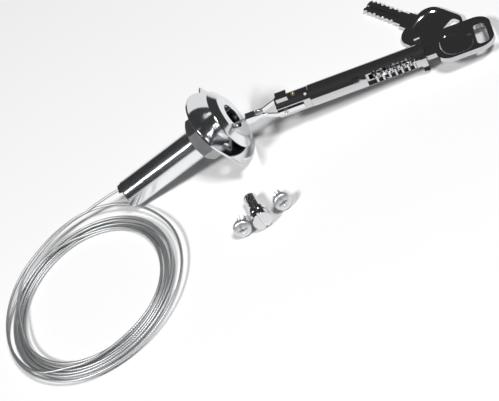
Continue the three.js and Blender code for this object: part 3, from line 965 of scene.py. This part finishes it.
def screw_mesh(at):
    """A pan head with a cross recess and a threaded shank, from its face along +X."""
    r = SCREW_HEAD_D / 2
    head = [(0.02 + 1.9 * t * t, r * math.sin(math.acos(max(0, 1 - t)) * 0.98)) for t in CROWN_STEPS]
    head += [
        (2, r - 0.02),
        (SCREW_HEAD_T - 0.2, r),
        (SCREW_HEAD_T, r - 0.2),
        (SCREW_HEAD_T, SCREW_D / 2 + 0.3),
    ]
    rings = []
    for x, radius in head:
        rings.append([(x, radius, k / SCREW_SIDES * TURN) for k in range(SCREW_SIDES)])
    steps = round((SCREW_L - 1.2) / SCREW_PITCH * 8)
    for i in range(steps + 1):
        x = SCREW_HEAD_T + 0.1 + i / steps * (SCREW_L - 1.2)
        ring = []
        for k in range(SCREW_SIDES):
            a = k / SCREW_SIDES * TURN
            phase = (x / SCREW_PITCH - a / TURN) % 1
            slope = min(1, abs(2 * phase - 1) * 1.25)
            ring.append((x, SCREW_D / 2 - 0.45 * slope, a))
        rings.append(ring)
    end = SCREW_HEAD_T + SCREW_L
    for x, radius in ((end - 0.7, SCREW_D / 2 - 0.5), (end, SCREW_D / 2 - 1.1)):
        rings.append([(x, radius, k / SCREW_SIDES * TURN) for k in range(SCREW_SIDES)])
    made = [
        [at @ (Vector((x, radius * math.cos(a), radius * math.sin(a))) * MM) for x, radius, a in ring]
        for ring in rings
    ]
    return mesh_of(ring_grid(made))


def cross_cutter(at, turn):
    """One arm of the cross recess: wide at the face and narrow at the bottom."""
    rings = []
    for x, long, wide in ((-1, 2.9, 0.62), (0.6, 2.4, 0.52), (DRIVE_DEPTH, 1.1, 0.34)):
        ring = []
        for y, z in ((-long, -wide), (long, -wide), (long, wide), (-long, wide)):
            corner = Matrix.Rotation(turn, 4, "X") @ Vector((x, y, z))
            ring.append(at @ (corner * MM))
        rings.append(ring)
    return mesh_of(ring_grid(rings))


class LOCKSET_OT_screws(bpy.types.Operator):
    """Makes the two cross-slot mounting screws"""

    bl_idname = "lockset.screws"
    bl_label = "Mounting screws"

    def execute(self, context):
        for number, (where, yaw) in SCREWS.items():
            turn = Matrix.Rotation(yaw, 4, "Z") @ Matrix.Rotation(SCREW_TILT, 4, "Y")
            at = Matrix.Translation(where * MM) @ turn
            mesh = cut(screw_mesh(at), [cross_cutter(at, 0), cross_cutter(at, TURN / 4)])
            new_piece(
                f"mounting_screw_{number}_cut",
                mesh,
                f"screw_{number}",
                "bright_steel",
                [f"mounting_screw_{number}"],
                40,
            )
        return {"FINISHED"}


# ---------- stage ----------
LEFT_LIGHT = Vector((-0.506, -0.379, 0.776))
RIGHT_LIGHT = Vector((0.434, -0.277, 0.855))
LIGHT_DISTANCE = 2.4
LIGHT_SIZE = 0.5


class LOCKSET_OT_stage(bpy.types.Operator):
    """Lays the pale floor and hangs two soft lights in a dim room"""

    bl_idname = "lockset.stage"
    bl_label = "Floor and lights"

    def execute(self, context):
        stage = settings().stage
        bm = bmesh.new()
        bmesh.ops.create_grid(bm, x_segments=8, y_segments=8, size=3)
        floor = bpy.data.objects.new("floor", mesh_of(bm, "floor"))
        floor.location.z = -0.1 * MM
        context.scene.collection.objects.link(floor)
        floor.data.materials.append(floor_finish(stage.floor))

        target = Vector((-LAYOUT_CENTRE.x, -LAYOUT_CENTRE.y, 0)) * MM
        for name, way, power in (
            ("left", LEFT_LIGHT, stage.left_power),
            ("right", RIGHT_LIGHT, stage.right_power),
        ):
            data = bpy.data.lights.new(name, "AREA")
            data.shape = "SQUARE"
            data.size = LIGHT_SIZE
            data.energy = power
            light = bpy.data.objects.new(name, data)
            light.location = target + way.normalized() * LIGHT_DISTANCE
            light.rotation_euler = way.to_track_quat("Z", "Y").to_euler()
            context.scene.collection.objects.link(light)

        world = bpy.data.worlds.new("room")
        world.use_nodes = True
        background = world.node_tree.nodes["Background"]
        background.inputs["Color"].default_value = (1, 1, 1, 1)
        background.inputs["Strength"].default_value = stage.sky
        context.scene.world = world
        context.scene.view_settings.view_transform = "Standard"
        return {"FINISHED"}


def floor_finish(colour):
    material = bpy.data.materials.new("table_top")
    material.use_nodes = True
    nodes, links = material.node_tree.nodes, material.node_tree.links
    shader = nodes["Principled BSDF"]
    shader.inputs["Roughness"].default_value = 0.65
    shader.inputs["Specular IOR Level"].default_value = 0.2
    noise = nodes.new("ShaderNodeTexNoise")
    noise.inputs["Scale"].default_value = 12
    ramp = nodes.new("ShaderNodeValToRGB")
    ramp.color_ramp.elements[0].color = (*[c * 0.985 for c in colour], 1)
    ramp.color_ramp.elements[1].color = (*colour, 1)
    links.new(noise.outputs["Fac"], ramp.inputs["Fac"])
    links.new(ramp.outputs["Color"], shader.inputs["Base Color"])
    return material


# ---------- add-on ----------
class LockSetSizes(bpy.types.PropertyGroup):
    """Everything that the lock set's makers read."""

    thread: bpy.props.PointerProperty(type=LockSetThread)
    cable: bpy.props.PointerProperty(type=LockSetCable)
    edges: bpy.props.PointerProperty(type=LockSetEdges)
    finish: bpy.props.PointerProperty(type=LockSetFinish)
    stage: bpy.props.PointerProperty(type=LockSetStage)


MAKERS = (
    LOCKSET_OT_camera,
    LOCKSET_OT_cable,
    LOCKSET_OT_barrel,
    LOCKSET_OT_machined,
    LOCKSET_OT_wafers,
    LOCKSET_OT_springs,
    LOCKSET_OT_ball,
    LOCKSET_OT_stop,
    LOCKSET_OT_keys,
    LOCKSET_OT_screws,
    LOCKSET_OT_stage,
)
GROUPS = (LockSetThread, LockSetCable, LockSetEdges, LockSetFinish, LockSetStage)


class LOCKSET_PT_makers(bpy.types.Panel):
    """Lists the lock set's makers and their sizes"""

    bl_label = "Lock set"
    bl_idname = "LOCKSET_PT_makers"
    bl_space_type = "VIEW_3D"
    bl_region_type = "UI"
    bl_category = "Lock set"

    def draw(self, context):
        for maker in MAKERS:
            self.layout.operator(maker.bl_idname)
        sizes = context.scene.lock_set_sizes
        for name in ("thread", "cable", "edges", "finish", "stage"):
            box = self.layout.box()
            box.label(text=name.capitalize())
            group = getattr(sizes, name)
            for prop in group.bl_rna.properties.keys():
                if prop not in ("rna_type", "name"):
                    box.prop(group, prop)


def register():
    for cls in (*GROUPS, LockSetSizes, *MAKERS, LOCKSET_PT_makers):
        bpy.utils.register_class(cls)
    bpy.types.Scene.lock_set_sizes = bpy.props.PointerProperty(type=LockSetSizes)


def unregister():
    del bpy.types.Scene.lock_set_sizes
    for cls in reversed((*GROUPS, LockSetSizes, *MAKERS, LOCKSET_PT_makers)):
        bpy.utils.unregister_class(cls)


def main():
    register()
    for maker in MAKERS:
        group, name = maker.bl_idname.split(".")
        getattr(getattr(bpy.ops, group), name)()


if __name__ == "__main__":
    main()
